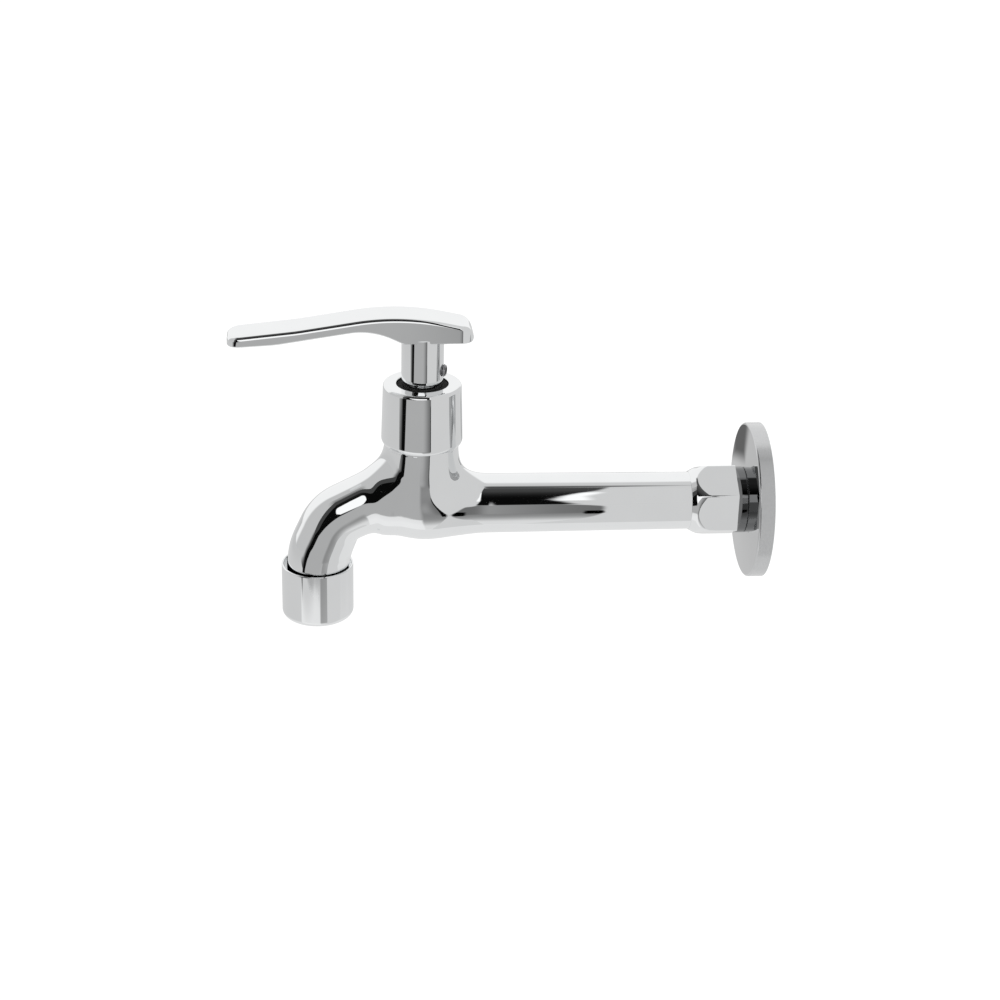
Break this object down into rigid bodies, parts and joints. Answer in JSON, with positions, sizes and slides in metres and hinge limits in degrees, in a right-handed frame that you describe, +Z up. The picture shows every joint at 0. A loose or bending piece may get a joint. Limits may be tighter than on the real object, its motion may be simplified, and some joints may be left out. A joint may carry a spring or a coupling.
{
  "type": "utility sink tap",
  "caption": "Wall-mounted tap with a long round barrel, a hexagon and wall flange, a quarter-turn lever on a capped valve, and a short curved spout with an aerator.",
  "frame": {"origin": "on the inlet thread's axis, in the plane of the wall, where the flange's rim rests", "axes": "+Y into the wall along the barrel, +Z up towards the lever, spout towards -Y"},
  "size_m": [0.055, 0.1908, 0.114],
  "materials": {
    "chrome_plate": "polished chrome plate",
    "raw_brass": "turned, unplated",
    "ceramic": "lapped ceramic",
    "fibre": "pressed fibre",
    "white_plastic": "moulded nylon",
    "black_rubber": "smooth rubber",
    "stainless": "plain stainless steel",
    "pale_plastic": "moulded, matt"
  },
  "bodies": {
    "tap": {"tap_body": "chrome_plate", "wall_flange": "chrome_plate", "bonnet_cap": "chrome_plate", "cartridge_housing": "raw_brass", "housing_washer": "fibre", "thrust_washer": "white_plastic", "fixed_disc": "ceramic", "disc_seal": "black_rubber", "aerator_shell": "chrome_plate", "aerator_gasket": "black_rubber", "aerator_housing": "pale_plastic", "jet_plate": "pale_plastic", "aerator_strainer": "pale_plastic", "aerator_screens": "stainless", "outlet_grid": "pale_plastic"},
    "handle": {"lever_handle": "chrome_plate", "handle_set_screw": "stainless", "spline_bush": "white_plastic", "spindle": "raw_brass", "spindle_o_rings": "black_rubber", "retaining_clip": "stainless", "moving_disc": "ceramic"}
  },
  "joints": [
    {"name": "handle_turn", "type": "hinge", "parent": "tap", "child": "handle", "pos_m": [0, -0.1212, 0.0125], "axis": [0, 0, 1], "range_deg": [0, 90]}
  ]
}
